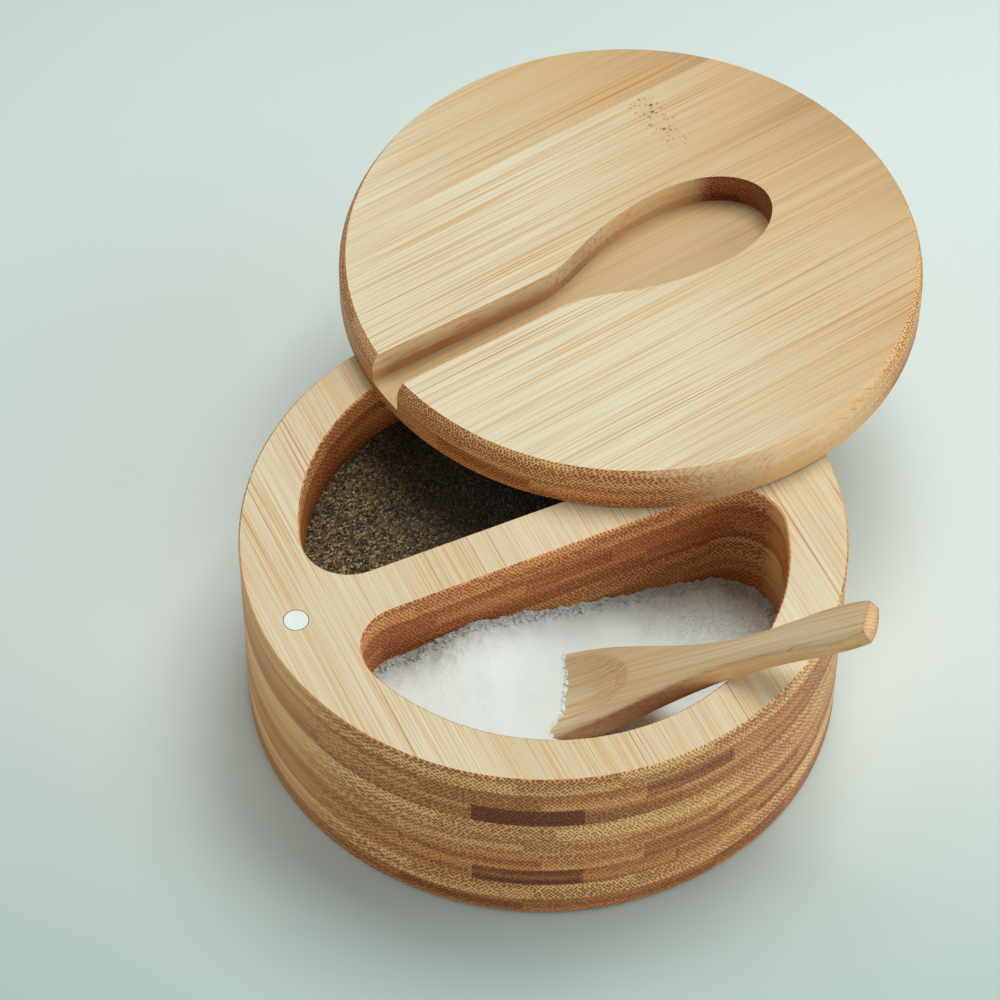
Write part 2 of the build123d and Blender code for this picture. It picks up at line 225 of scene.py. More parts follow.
# ---------------------------------------- shader building
class Shader:
    """A material whose nodes are added one call at a time."""

    def __init__(self, name):
        self.material = bpy.data.materials.new(name)
        self.material.use_nodes = True
        self.nodes = self.material.node_tree.nodes
        self.links = self.material.node_tree.links
        self.surface = self.nodes["Principled BSDF"]

    def put(self, socket, value):
        """Link an output to a socket, or set the socket's own value."""
        if isinstance(value, bpy.types.NodeSocket):
            self.links.new(value, socket)
        elif socket.type == "RGBA":
            socket.default_value = (*value, 1.0)
        else:
            socket.default_value = value

    def finish(self, socket, value):
        """Link or set one of the sockets of the material's surface."""
        self.put(self.surface.inputs[socket], value)

    def node(self, kind, inputs=None, **settings):
        """New node with its settings; its inputs are given by name or number."""
        made = self.nodes.new(kind)
        for name, value in settings.items():
            setattr(made, name, value)
        for socket, value in (inputs or {}).items():
            self.put(made.inputs[socket], value)
        return made

    def math(self, operation, first, second=0.0, clamp=False):
        inputs = {0: first, 1: second}
        return self.node("ShaderNodeMath", inputs, operation=operation, use_clamp=clamp).outputs[0]

    def plus(self, first, second, clamp=False):
        return self.math("ADD", first, second, clamp)

    def minus(self, first, second):
        return self.math("SUBTRACT", first, second)

    def times(self, first, second):
        return self.math("MULTIPLY", first, second)

    def scale_add(self, value, scale, added=0.0):
        inputs = {0: value, 1: scale, 2: added}
        return self.node("ShaderNodeMath", inputs, operation="MULTIPLY_ADD").outputs[0]

    def swing(self, value, amount):
        """A value from 0 to 1 as a change from minus half the amount to plus half of it."""
        return self.scale_add(value, amount, -amount / 2)

    def smooth(self, value, low, high):
        """0 below low, 1 above high, smooth between; high may be the lower of the two."""
        flip = high < low
        inputs = {
            "Value": value,
            "From Min": high if flip else low,
            "From Max": low if flip else high,
            "To Min": 1.0 if flip else 0.0,
            "To Max": 0.0 if flip else 1.0,
        }
        made = self.node("ShaderNodeMapRange", inputs, interpolation_type="SMOOTHSTEP")
        return made.outputs["Result"]

    def vector(self, operation, *values):
        """Vector Math node with its inputs in order."""
        return self.node("ShaderNodeVectorMath", dict(enumerate(values)), operation=operation)

    def split(self, vector):
        """The three parts of a vector."""
        return self.node("ShaderNodeSeparateXYZ", {"Vector": vector}).outputs[:]

    def join(self, x, y, z=0.0):
        return self.node("ShaderNodeCombineXYZ", {"X": x, "Y": y, "Z": z}).outputs["Vector"]

    def mix(self, share, first, second, blend="MIX"):
        inputs = {"Factor": share, "A": first, "B": second}
        return self.node("ShaderNodeMix", inputs, data_type="RGBA", blend_type=blend).outputs["Result"]

    def steps(self, value, edges, tones):
        """Stepped value along a line: tones[0] below edges[0], then tones[1], and so on."""
        made = self.node("ShaderNodeValToRGB", {"Fac": value})
        made.color_ramp.interpolation = "CONSTANT"
        elements = made.color_ramp.elements
        elements[0].position = 0.0
        elements[0].color = (tones[0], tones[0], tones[0], 1)
        elements.remove(elements[1])
        for edge, tone in zip(edges, tones[1:]):
            elements.new(edge).color = (tone, tone, tone, 1)
        return made.outputs["Color"]

    def ramp(self, value, *stops):
        """Colour ramp; each stop is a place from 0 to 1 and a colour."""
        made = self.node("ShaderNodeValToRGB", {"Fac": value})
        elements = made.color_ramp.elements
        elements[0].position, elements[1].position = stops[0][0], stops[-1][0]
        elements[0].color, elements[1].color = (*stops[0][1], 1), (*stops[-1][1], 1)
        for place, shade in stops[1:-1]:
            elements.new(place).color = (*shade, 1)
        return made.outputs["Color"]

    def mapping(self, kind, vector, location=(0, 0, 0), rotation=(0, 0, 0), scale=(1, 1, 1)):
        inputs = {"Vector": vector, "Location": location, "Rotation": rotation, "Scale": scale}
        return self.node("ShaderNodeMapping", inputs, vector_type=kind).outputs["Vector"]

    def place(self, location=(0, 0, 0), rotation=(0, 0, 0)):
        """Object coordinates in millimetres, in a frame that stands at location, turned by rotation."""
        source = self.node("ShaderNodeTexCoord").outputs["Object"]
        return self.mapping("TEXTURE", source, location, rotation, (MM, MM, MM))

    def stretch(self, vector, size, offset=(0, 0, 0), turn=0.0):
        """Coordinates divided by a size in millimetres along each axis, then turned about Z."""
        return self.mapping("POINT", vector, offset, (0, 0, turn), [1 / value for value in size])

    def noise(self, vector, detail=2.0, roughness=0.5):
        inputs = {"Vector": vector, "Scale": 1.0, "Detail": detail, "Roughness": roughness}
        return self.node("ShaderNodeTexNoise", inputs).outputs["Fac"]

    def cells(self, vector, randomness=1.0, flat=False):
        inputs = {"Vector": vector, "Scale": 1.0, "Randomness": randomness}
        return self.node("ShaderNodeTexVoronoi", inputs, voronoi_dimensions="2D" if flat else "3D")

    def own_number(self, cells):
        """A random number from 0 to 1 for each cell."""
        return self.node("ShaderNodeSeparateColor", {"Color": cells.outputs["Color"]}).outputs["Red"]

    def bump(self, height, distance, strength):
        inputs = {"Height": height, "Distance": distance, "Strength": strength}
        made = self.node("ShaderNodeBump", inputs)
        self.finish("Normal", made.outputs["Normal"])
        return made


def dimmed(base, share):
    return tuple(value * share for value in base)


# ---------------------------------------- bamboo
# A face counts fully as cut across the fibres, or as upright, once its normal's share along the fibres,
# or along Z, has gone from the first number to the second.
SAWN_CUT, SAWN_UPRIGHT = (0.12, 0.50), (0.90, 0.72)
CARVED_CUT, CARVED_UPRIGHT = (0.50, 0.80), (0.65, 0.35)
CARVED_SLOPING = (0.05, 0.26)

# Sizes of patterns in the grain, across, along and up the strips, in millimetres.
STRAY_X_WIDTH, STRAY_Z_WIDTH, STRAY_HEIGHT = 30, 26, 30
BAND_SIZE = (2.6, 200, 2.6)
PATCH_SIZE = (16, 60, 16)
SKIN_SIZE = (60, 300, 2.6)
CROWD_SIZE = (7, 240, 7)

# How far patterns move a shade, which runs from 0, dark, to 1, light.
BAND_SWING, PATCH_SWING, FINE_SWING = 0.44, 0.24, 0.24
END_BAND_SWING, END_SKIN_SWING = 0.16, -0.22

# Noise between which a pattern grows from nothing to full.
SKIN_RANGE, CROWD_RANGE = (0.30, 0.70), (0.34, 0.62)
LINE_RANGE, STREAK_RANGE = (0.50, 0.64), (0.57, 0.68)

# Strength of the marks on the ground colour.
LINE_STRENGTH, STREAK_STRENGTH, FLECK_STRENGTH = 0.70, 0.76, 0.42

# Steps of the pattern in millimetres from strip to strip and from piece to piece, across and up, so that
# no strip looks like its neighbour.
STRIP_STEP_X, STRIP_STEP_Z = 37.7, 5.3
PIECE_STEP_X, PIECE_STEP_Z = 3.1, 11.0

# Fibre bundles stand in slanting rows that are a little further apart than the bundles in a row.
ROW_STRETCH = 1.35
ROW_TURN = math.radians(45)
ROW_RANDOMNESS = 0.45
DISC_SIZE, DISC_GROWTH, DISC_EDGE = 0.32, 0.12, 0.10

# In millimetres: where dark canes end behind the front of the box, and how far inside its side the inner
# walls with their painted shade begin.
FRONT_END = (-48, -45)
INSIDE_SIDE = (2, 5)

# The knot's specks: size of a cell in millimetres, shift of the pattern, range of the cells' random
# numbers in which they grow to full, and strength.
SPECKS = ((0.9, 0.2, (0.05, 0.35), 0.6), (1.5, 3.7, (0.3, 0.5), 0.9))


def facing_shares(shader, rotation, carved):
    """How far a face points along the fibres, is cut across them and stands upright, each from 0 to 1."""
    normal = shader.node("ShaderNodeTexCoord").outputs["Normal"]
    _, y_share, z_share = shader.split(shader.mapping("TEXTURE", normal, rotation=rotation))
    along = shader.math("ABSOLUTE", y_share)
    cut_across = shader.smooth(along, *(CARVED_CUT if carved else SAWN_CUT))
    upright = shader.smooth(shader.math("ABSOLUTE", z_share), *(CARVED_UPRIGHT if carved else SAWN_UPRIGHT))
    return along, cut_across, upright


def strip_shades(shader, x_mm, y_mm, first_joint, tones, least):
    """Number of the strip at a place, and its shade; dark canes end short of the compartments."""
    width = bpy.context.scene.salt_box_bamboo.strip_width / MM
    span = 2 * (BODY_RADIUS / MM + width)
    edges = [(first_joint + width * index) / span + 0.5 for index in range(len(tones) - 1)]
    tone = shader.steps(shader.scale_add(x_mm, 1 / span, 0.5), edges, tones)
    tone = shader.math("MAXIMUM", tone, shader.scale_add(shader.smooth(y_mm, *FRONT_END), least))
    strip = shader.math("DIVIDE", shader.minus(x_mm, first_joint), width)
    return shader.math("FLOOR", strip), tone


def fibre_space(shader, space, strip_index, seed):
    """Coordinates that follow the fibres, and the part of them in the cross-section.

    The fibres stray slowly sideways and up and down.
    """
    look = bpy.context.scene.salt_box_bamboo
    x_mm, y_mm, z_mm = shader.split(space)
    reach = look.wander / MM
    run = look.wander_length / MM
    stray_x = shader.stretch(space, (STRAY_X_WIDTH, run, STRAY_HEIGHT), (seed, 0, 0))
    stray_z = shader.stretch(space, (STRAY_Z_WIDTH, run, STRAY_HEIGHT), (0, 0, seed + 9.3))
    grain_x = shader.plus(x_mm, shader.swing(shader.noise(stray_x, detail=1.0), 2 * reach))
    grain_x = shader.plus(grain_x, shader.scale_add(strip_index, STRIP_STEP_X, seed * PIECE_STEP_X))
    grain_z = shader.scale_add(shader.noise(stray_z, detail=1.0), 2 * reach, seed * PIECE_STEP_Z)
    grain_z = shader.plus(z_mm, grain_z)
    grain_z = shader.plus(grain_z, shader.scale_add(strip_index, STRIP_STEP_Z))
    return shader.join(grain_x, y_mm, grain_z), shader.join(grain_x, grain_z)


def fibre_bundles(shader, grain, section, spacing):
    """Nearness to the cane's skin, and the discs of the bundles, which grow towards that skin."""
    rows = shader.stretch(section, (spacing, spacing * ROW_STRETCH, 1), turn=ROW_TURN)
    distance = shader.cells(rows, randomness=ROW_RANDOMNESS, flat=True).outputs["Distance"]
    skin = shader.noise(shader.stretch(grain, SKIN_SIZE, (3.1, 0, 0)), detail=0.0)
    skin = shader.smooth(skin, *SKIN_RANGE)
    disc_size = shader.scale_add(skin, DISC_GROWTH, DISC_SIZE)
    disc = shader.smooth(shader.minus(disc_size, distance), -DISC_EDGE, DISC_EDGE)
    return skin, disc


def long_grain(shader, grain, tone, fine):
    """Colour along the fibres: a quiet ground with many thin lines of different lengths."""
    look = bpy.context.scene.salt_box_bamboo
    width, run = look.line_width / MM, look.line_length / MM
    patch = shader.noise(shader.stretch(grain, PATCH_SIZE, (0, 4.4, 0)), detail=1.0)
    tone = shader.plus(tone, shader.swing(patch, PATCH_SWING))
    tone = shader.plus(tone, shader.swing(fine, FINE_SWING), clamp=True)
    ground = shader.ramp(tone, (0.0, look.dark), (0.5, look.middle), (1.0, look.light))
    lines = shader.noise(shader.stretch(grain, (width, run, width * 5), (7.1, 0, 3.3)), detail=1.0)
    lines = shader.smooth(lines, *LINE_RANGE)
    crowd = shader.noise(shader.stretch(grain, CROWD_SIZE, (5.2, 0, 0)), detail=1.0)
    crowd = shader.smooth(crowd, *CROWD_RANGE)
    streaks = shader.stretch(grain, (width * 1.3, run * 1.5, width * 9), (1.7, 0, 8.8))
    streaks = shader.smooth(shader.noise(streaks, detail=2.0), *STREAK_RANGE)
    streaks = shader.times(streaks, shader.scale_add(crowd, 0.7, 0.3))
    ground = shader.mix(shader.times(lines, LINE_STRENGTH), ground, look.line)
    return shader.mix(shader.times(streaks, STREAK_STRENGTH), ground, look.streak)


def end_grain(shader, tone, dots):
    """Colour where strips are cut across or stand upright: redder, with a dark disc for each bundle."""
    look = bpy.context.scene.salt_box_bamboo
    end = shader.ramp(tone, (0.0, look.end_dark), (0.5, look.end_middle), (1.0, look.end_light))
    return shader.mix(dots, end, shader.mix(1.0, end, look.bundle, blend="MULTIPLY"))


def knot_mark(shader, space, ground, knot):
    """The ground with a speckled mark where the cane had a knot."""
    look = bpy.context.scene.salt_box_bamboo
    (mark_x, mark_y), (half_x, half_y) = knot
    x_mm, y_mm, _ = shader.split(space)
    across = shader.math("ABSOLUTE", shader.minus(x_mm, mark_x))
    along = shader.math("ABSOLUTE", shader.minus(y_mm, mark_y))
    inside = shader.times(
        shader.smooth(across, half_x, half_x - 1.0), shader.smooth(along, half_y, half_y * 0.3)
    )
    ground = shader.mix(shader.times(inside, 0.5), ground, look.middle)
    for size, shift, chance, strength in SPECKS:
        cells = shader.cells(shader.stretch(space, (size, size * 1.3, 40.0), (shift, 0.2, 0)))
        speck = shader.smooth(cells.outputs["Distance"], 0.34, 0.16)
        speck = shader.times(speck, shader.smooth(shader.own_number(cells), *chance))
        speck = shader.times(speck, inside)
        ground = shader.mix(shader.times(speck, strength), ground, look.end_dark)
    return ground


def bamboo(
    name,
    first_joint,
    tones,
    location=(0, 0, 0),
    rotation=(0, 0, 0),
    coarse=1.0,
    fineness=1.0,
    slope=0.0,
    wall=1.0,
    least=0.40,
    inner_shade_tint=None,
    carved=False,
    soften=0.0,
    seed=0.0,
    knot=None,
):
    """Bamboo strips side by side along X, with their fibres along Y.

    first_joint: place in millimetres of the joint between the first two strips
    tones: each strip's shade from 0, dark, to 1, light
    location, rotation: where the piece's own frame stands
    coarse: strength of the dots where bundles are cut across
    fineness: how much closer together the bundles are than usual
    slope: change of shade per millimetre along the fibres
    wall: how much of the end grain's colour upright faces along the fibres take
    least: darkest shade of a strip behind the front of the box
    inner_shade_tint: painted shade, a colour that the walls inside a board are multiplied by where they are
    cut across
    carved: the piece is rounded, so its sloping faces show long grain too, with flecks
    soften: radius over which edges are shaded round
    seed: makes the pattern of each piece its own
    knot: place and half size in millimetres of a speckled mark where the cane had a knot
    """
    look = bpy.context.scene.salt_box_bamboo
    shader = Shader(name)
    space = shader.place(location, rotation)
    x_mm, y_mm, _ = shader.split(space)
    along, cut_across, upright = facing_shares(shader, rotation, carved)
    strip_index, strip_tone = strip_shades(shader, x_mm, y_mm, first_joint, tones, least)
    grain, section = fibre_space(shader, space, strip_index, seed)
    skin, disc = fibre_bundles(shader, grain, section, look.bundle_spacing / MM / fineness)
    band = shader.noise(shader.stretch(grain, BAND_SIZE), detail=2.0)
    width, run = look.line_width / MM, look.line_length / MM
    fine = shader.noise(shader.stretch(grain, (width * 0.6, run * 0.4, width)), detail=2.0)

    long_tone = shader.plus(strip_tone, shader.swing(band, BAND_SWING))
    long_tone = shader.plus(long_tone, shader.scale_add(y_mm, slope))
    ground = long_grain(shader, grain, long_tone, fine)
    if carved:
        sloping = shader.smooth(along, *CARVED_SLOPING)
        flecks = shader.times(disc, shader.times(sloping, FLECK_STRENGTH))
        ground = shader.mix(flecks, ground, look.streak)

    end_tone = shader.plus(strip_tone, shader.swing(skin, END_SKIN_SWING))
    end_tone = shader.plus(end_tone, shader.swing(band, END_BAND_SWING), clamp=True)
    dots = shader.times(disc, shader.scale_add(cut_across, 0.95 * coarse, 0.05))
    end = end_grain(shader, end_tone, dots)
    # painted shade and warm bounce light on the walls inside the board, where they are cut across
    if inner_shade_tint:
        flat = shader.vector("MULTIPLY", space, (1, 1, 0)).outputs["Vector"]
        from_axis = shader.vector("LENGTH", flat).outputs["Value"]
        inner = shader.smooth(from_axis, *(BODY_RADIUS / MM - depth for depth in INSIDE_SIDE))
        inner = shader.times(inner, cut_across)
        end = shader.mix(inner, end, shader.mix(1.0, end, inner_shade_tint, blend="MULTIPLY"))
    upright = shader.times(upright, wall)
    if carved:
        cut_across = shader.times(cut_across, wall)
    ground = shader.mix(shader.math("MAXIMUM", upright, cut_across), ground, end)
    if knot:
        ground = knot_mark(shader, space, ground, knot)

    shader.finish("Base Color", ground)
    shader.finish("Roughness", shader.scale_add(fine, 0.2, look.roughness - 0.08))
    shader.finish("Specular IOR Level", 0.3)
    relief = shader.minus(fine, shader.times(dots, 0.6))
    bump = shader.bump(relief, 0.06 * MM, 0.30)
    if soften:
        bevel = shader.node("ShaderNodeBevel", {"Radius": soften}, samples=6)
        shader.put(bump.inputs["Normal"], bevel.outputs["Normal"])
    return shader.material


def dress(node, material):
    """Give a node of the frame its material."""
    mesh = frame["nodes"][node].data
    mesh.materials.clear()
    mesh.materials.append(material)


# ---------------------------------------- helpers for new pieces
ARC_SIDES, CORNER_SIDES = 256, 96
FLAT_ANGLE = math.radians(0.2)  # faces of the plan that turn by less become one
WALL_GAP = 0.03 * MM  # between a heap and the walls of its compartment
HEADROOM = 12 * MM  # how far a heap may rise above its node
FOOTROOM = 1 * MM  # how far a heap reaches below its node until it is cut flat
EXTRA_STEPS = 4  # steps of the grid by which a heap is wider than its compartment until it is cut
WALL_RISE = 0.05  # a face whose normal rises or falls by less is one of a heap's walls
RIM_RISE, TOP_RISE = 0.1, 0.3  # points of a rim, and of a top, have normals that rise by more
SPOON_ABOVE = 0.05 * MM  # the spoon counts as near where it is at least this far above the heap
GRAIN_SPREAD = (0.45, 1.15)  # smallest and largest grain, as a share of the usual size


def deselect():
    if bpy.context.object and bpy.context.object.mode != "OBJECT":
        bpy.ops.object.mode_set(mode="OBJECT")
    bpy.ops.object.select_all(action="DESELECT")


def apply_all(piece):
    """Put the piece's place into its mesh and apply its modifiers in order."""
    deselect()
    piece.select_set(True)
    bpy.context.view_layer.objects.active = piece
    bpy.ops.object.transform_apply(location=True, rotation=True, scale=True)
    for modifier in [modifier.name for modifier in piece.modifiers]:
        bpy.ops.object.modifier_apply(modifier=modifier)


def finish_piece(piece, material, body, node):
    piece.data.materials.clear()
    piece.data.materials.append(material)
    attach(piece, body)
    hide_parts(node)


def compartment_block(name, low, high, wall):
    """A block with the plan of the compartment that a fill stands in, wall smaller all round.

    The plan is a large arc, two round corners and the straight side along the divider.  It is convex, so
    the block is the hull of the arc's sector and of one cylinder in each corner.
    """
    look = bpy.context.scene.salt_box_plan
    front = low.y < -high.y
    outward = -1 if front else 1
    far_y, near_y = (low.y, high.y) if front else (high.y, low.y)
    arc_centre = outward * look.arc_centre
    arc_radius = abs(far_y - arc_centre) - wall
    corner_radius = look.corner_radius - wall
    corner_y = near_y + outward * look.corner_radius
    corner_x = math.sqrt((arc_radius - corner_radius) ** 2 - (corner_y - arc_centre) ** 2)
    middle_z, depth = (low.z + high.z) / 2, high.z - low.z
    middle = (0, arc_centre, middle_z)
    deselect()
    bpy.ops.mesh.primitive_cylinder_add(
        vertices=ARC_SIDES, radius=arc_radius, depth=depth, location=middle, end_fill_type="NOTHING"
    )
    block = bpy.context.object
    block.name = block.data.name = name
    apply_all(block)
    bpy.ops.object.mode_set(mode="EDIT")
    for side in (-1, 1):
        bpy.ops.mesh.select_all(action="SELECT")
        normal = (side * abs(corner_y - arc_centre), -outward * corner_x, 0)
        bpy.ops.mesh.bisect(plane_co=middle, plane_no=normal, clear_outer=True)
    for side in (-1, 1):
        corner = (side * corner_x, corner_y, middle_z)
        bpy.ops.mesh.primitive_cylinder_add(
            vertices=CORNER_SIDES, radius=corner_radius, depth=depth, location=corner
        )
    bpy.ops.mesh.select_all(action="SELECT")
    bpy.ops.mesh.convex_hull()
    bpy.ops.mesh.select_all(action="SELECT")
    bpy.ops.mesh.dissolve_limited(angle_limit=FLAT_ANGLE)
    bpy.ops.mesh.select_all(action="SELECT")
    bpy.ops.mesh.normals_make_consistent(inside=False)
    bpy.ops.object.mode_set(mode="OBJECT")
    if not block.data.polygons:
        raise RuntimeError(f"{name} has no faces left")
    return block


def heap(name, low, high, step, height):
    """Fill for a compartment with a finely divided top, whose height at a place is height(x, y).

    It is made larger than the compartment all round, and then cut to the compartment's plan.
    """
    deselect()
    centre = (low + high) / 2
    columns = int((high.x - low.x) / step)
    rows = int((high.y - low.y) / step)
    bpy.ops.mesh.primitive_grid_add(
        x_subdivisions=columns, y_subdivisions=rows, size=1, location=(centre.x, centre.y, low.z)
    )
    piece = bpy.context.object
    piece.name = piece.data.name = name
    extra = EXTRA_STEPS * step
    piece.scale = (high.x - low.x + extra, high.y - low.y + extra, 1)
    apply_all(piece)
    bpy.ops.object.mode_set(mode="EDIT")
    bpy.ops.mesh.select_all(action="SELECT")
    bpy.ops.mesh.extrude_region_move(TRANSFORM_OT_translate={"value": (0, 0, high.z - low.z)})
    bpy.ops.object.mode_set(mode="OBJECT")
    for vertex in piece.data.vertices:
        if vertex.co.z > centre.z:
            vertex.co.z = height(vertex.co.x, vertex.co.y)
        else:
            vertex.co.z -= FOOTROOM
    bpy.ops.object.mode_set(mode="EDIT")
    bpy.ops.mesh.select_all(action="SELECT")
    bpy.ops.mesh.normals_make_consistent(inside=False)
    bpy.ops.object.mode_set(mode="OBJECT")
    plan = compartment_block(name + "_plan", low, high + Vector((0, 0, HEADROOM)), WALL_GAP)
    cut = piece.modifiers.new("plan", "BOOLEAN")
    cut.operation = "INTERSECT"
    cut.solver = "EXACT"
    cut.object = plan
    apply_all(piece)
    bpy.data.objects.remove(plan)
    if not piece.data.polygons:
        raise RuntimeError(f"{name} was lost when it was cut to its plan")
    return piece


def loose_places(piece, edge, share, seed):
    """Places on a heap's top for loose grains: most by its rim and the spoon, a share of them elsewhere."""
    draw = random.Random(seed)
    points = piece.data.vertices
    top = [point.co.copy() for point in points if point.normal.z > TOP_RISE]
    upright = [face for face in piece.data.polygons if abs(face.normal.z) < WALL_RISE]
    walls = {index for face in upright for index in face.vertices}
    rim = [point.co.copy() for point in points if point.index in walls and point.normal.z > RIM_RISE]
    tree = KDTree(len(rim))
    for index, place in enumerate(rim):
        tree.insert(place, index)
    tree.balance()
    spoon = BVHTree.FromObject(frame["nodes"]["spoon"], bpy.context.evaluated_depsgraph_get())
    kept = []
    for place in top:
        far = tree.find(place)[2]
        touched, _, _, gap = spoon.find_nearest(place, edge)
        if touched is not None and touched.z > place.z + SPOON_ABOVE:
            far = min(far, gap)
        if draw.random() < max(share, 1 - far / edge):
            kept.append(place)
    if not kept:
        raise RuntimeError(f"{piece.name} has no top to put loose grains on")
    return kept


def crystals(name, count, size, points, seed, squareness):
    """Many small blocks, each turned its own way, half sunk at the points given."""
    draw = random.Random(seed)
    corners = [(x, y, z) for x in (-1, 1) for y in (-1, 1) for z in (-1, 1)]
    sides = [(0, 1, 3, 2), (4, 6, 7, 5), (0, 4, 5, 1), (2, 3, 7, 6), (0, 2, 6, 4), (1, 5, 7, 3)]
    vertices = []
    faces = []
    for point in draw.sample(points, min(count, len(points))):
        turn = Euler([draw.uniform(0, math.pi) for _ in range(3)]).to_matrix()
        half = size / 2 * draw.uniform(*GRAIN_SPREAD)
        shape = Vector([half * draw.uniform(squareness, 1.0) for _ in range(3)])
        start = len(vertices)
        for corner in corners:
            local = Vector([part * reach for part, reach in zip(corner, shape)])
            vertices.append(point + turn @ local)
        faces.extend([tuple(start + index for index in side) for side in sides])
    mesh = bpy.data.meshes.new(name)
    mesh.from_pydata(vertices, [], faces)
    piece = bpy.data.objects.new(name, mesh)
    bpy.context.scene.collection.objects.link(piece)
    return piece


# ---------------------------------------- the pieces
class SALTBOX_OT_body_boards(bpy.types.Operator):
    """Finish the nine boards of the body"""

    bl_idname = "salt_box.body_boards"
    bl_label = "Body boards"

    def execute(self, context):
        # the strips' shades from 0, dark, to 1, light, from left to right
        light = (0.84, 0.90, 0.78, 0.88, 0.84, 0.92, 0.80)
        shifted = (0.50, 0.42, 0.58, 0.26, 0.40, 0.46, 0.52)
        darker = (0.46, 0.06, 0.36, 0.54, 0.38, 0.46, 0.42)
        warm = (0.92, 0.84, 0.98, 0.88, 0.82, 0.94, 0.86)
        tan = (0.78, 0.68, 0.74, 0.62, 0.72, 0.66, 0.74)
        # the base board is partly its own brown and partly painted shade along the foot of the box
        brown_and_foot_shade = (0.36, 0.24, 0.32, 0.26, 0.30, 0.24, 0.34)
        # node: material, place of the first joint in millimetres, shades, strength of the dots
        boards = {
            "body_board_9": ("bamboo top board", -52.0, light, 0.9),
            "body_board_8": ("bamboo board eight", -46.9, shifted, 0.8),
            "body_board_7": ("bamboo board seven", -39.2, darker, 0.8),
            "body_board_6": ("bamboo board six", -44.0, warm, 0.9),
            "body_board_5": ("bamboo board five", -50.0, tan, 0.8),
            "body_board_4": ("bamboo board four", -46.9, shifted, 0.8),
            "body_board_3": ("bamboo board three", -39.2, darker, 0.8),
            "body_board_2": ("bamboo board two", -48.0, warm, 0.9),
            "body_board_1": ("bamboo base board", -50.0, brown_and_foot_shade, 0.7),
        }
        # painted shade and warm bounce light for the walls inside the body
        tint = context.scene.salt_box_bamboo.inner_shade_tint
        for seed, (node, (name, first_joint, tones, coarse)) in enumerate(boards.items()):
            least = 0.0 if tones is brown_and_foot_shade else 0.40
            finish = bamboo(
                name, first_joint, tones, coarse=coarse, least=least, inner_shade_tint=tint, seed=float(seed)
            )
            dress(node, finish)
        return {"FINISHED"}


class SALTBOX_OT_lid_boards(bpy.types.Operator):
    """Finish the two boards of the lid, with the grain turned as the lid stands"""

    bl_idname = "salt_box.lid_boards"
    bl_label = "Lid boards"

    def execute(self, context):
        shared = {
            "location": (LID_CENTRE.x, LID_CENTRE.y, 0),
            "rotation": (0, 0, lid_open_turn()),
            "coarse": 0.9,
            "fineness": 1.35,
            "wall": 0.45,
            # painted shade on the walls inside the lid's recess
            "inner_shade_tint": context.scene.salt_box_bamboo.recess_shade_tint,
        }
        upper = (0.58, 0.66, 0.88, 0.78, 0.86, 0.92, 0.76)
        lower = (0.62, 0.54, 0.48, 0.56, 0.52, 0.58, 0.62)
        knot = ((-27.5, 27.5), (9.0, 4.2))
        lid_top = bamboo("bamboo lid top", -57.5, upper, slope=-0.0080, seed=21.0, knot=knot, **shared)
        lid_foot = bamboo("bamboo lid underside", -44.0, lower, seed=22.0, **shared)
        dress("lid_upper_board", lid_top)
        dress("lid_lower_board", lid_foot)
        return {"FINISHED"}


class SALTBOX_OT_spoon(bpy.types.Operator):
    """Finish the bamboo spoon, with the grain along it"""

    bl_idname = "salt_box.spoon"
    bl_label = "Spoon"

    def execute(self, context):
        stand = (
            Matrix.Rotation(SPOON_YAW, 3, "Z")
            @ Matrix.Rotation(SPOON_PITCH, 3, "Y")
            @ Matrix.Rotation(SPOON_ROLL, 3, "X")
            @ Matrix.Rotation(-math.pi / 2, 3, "Z")
        )
        one_cane = (0.70,) * 7
        finish = bamboo(
            "bamboo spoon",
            -70.0,
            one_cane,
            location=box_centre("spoon"),
            rotation=stand.to_euler("XYZ"),
            coarse=0.4,
            wall=0.6,
            carved=True,
            soften=2.4 * MM,
            seed=31.0,
        )
        dress("spoon", finish)
        return {"FINISHED"}


def metal_material(name, base, roughness, scratch):
    """Bare metal with faint turning marks."""
    shader = Shader(name)
    grain = shader.noise(shader.stretch(shader.place(), (0.25, 4.0, 4.0)), detail=3.0)
    shader.finish("Base Color", shader.mix(shader.times(grain, scratch), base, dimmed(base, 0.6)))
    shader.finish("Metallic", 1.0)
    shader.finish("Roughness", shader.scale_add(grain, 0.2, roughness))
    shader.bump(grain, 0.02 * MM, 0.2)
    return shader.material


def nylon_material(base):
    """Slightly cloudy plastic."""
    shader = Shader("natural nylon")
    cloud = shader.noise(shader.stretch(shader.place(), (1.5, 1.5, 1.5)), detail=3.0)
    shader.finish("Base Color", shader.mix(cloud, base, dimmed(base, 0.86)))
    shader.finish("Roughness", 0.45)
    shader.bump(cloud, 0.02 * MM, 0.3)
    return shader.material


class SALTBOX_OT_metal_parts(bpy.types.Operator):
    """Finish the magnets, the screw, the washers and the insert"""

    bl_idname = "salt_box.metal_parts"
    bl_label = "Magnets and pivot"

    def execute(self, context):
        look = context.scene.salt_box_metal
        nickel = metal_material("bright nickel", look.nickel, 0.6, 0.15)
        steel = metal_material("zinc plated steel", look.steel, 0.32, 0.5)
        brass = metal_material("machined brass", look.brass, 0.3, 0.4)
        dress("body_magnet", nickel)
        dress("lid_magnet", nickel)
        dress("pivot_screw", steel)
        dress("head_washer", steel)
        dress("lid_insert", brass)
        dress("glide_washer", nylon_material(look.nylon))
        return {"FINISHED"}


# Salt: along X in millimetres, where painted shade, grey between single grains, begins towards the end of the
# heap that lies in shade.
SHADED_END = (8, 30)
# Pepper: along X in millimetres, where painted shade of the lid begins to darken the flakes, away from the
# catch.
LID_SHADE_ON_PEPPER = (-26, -6)


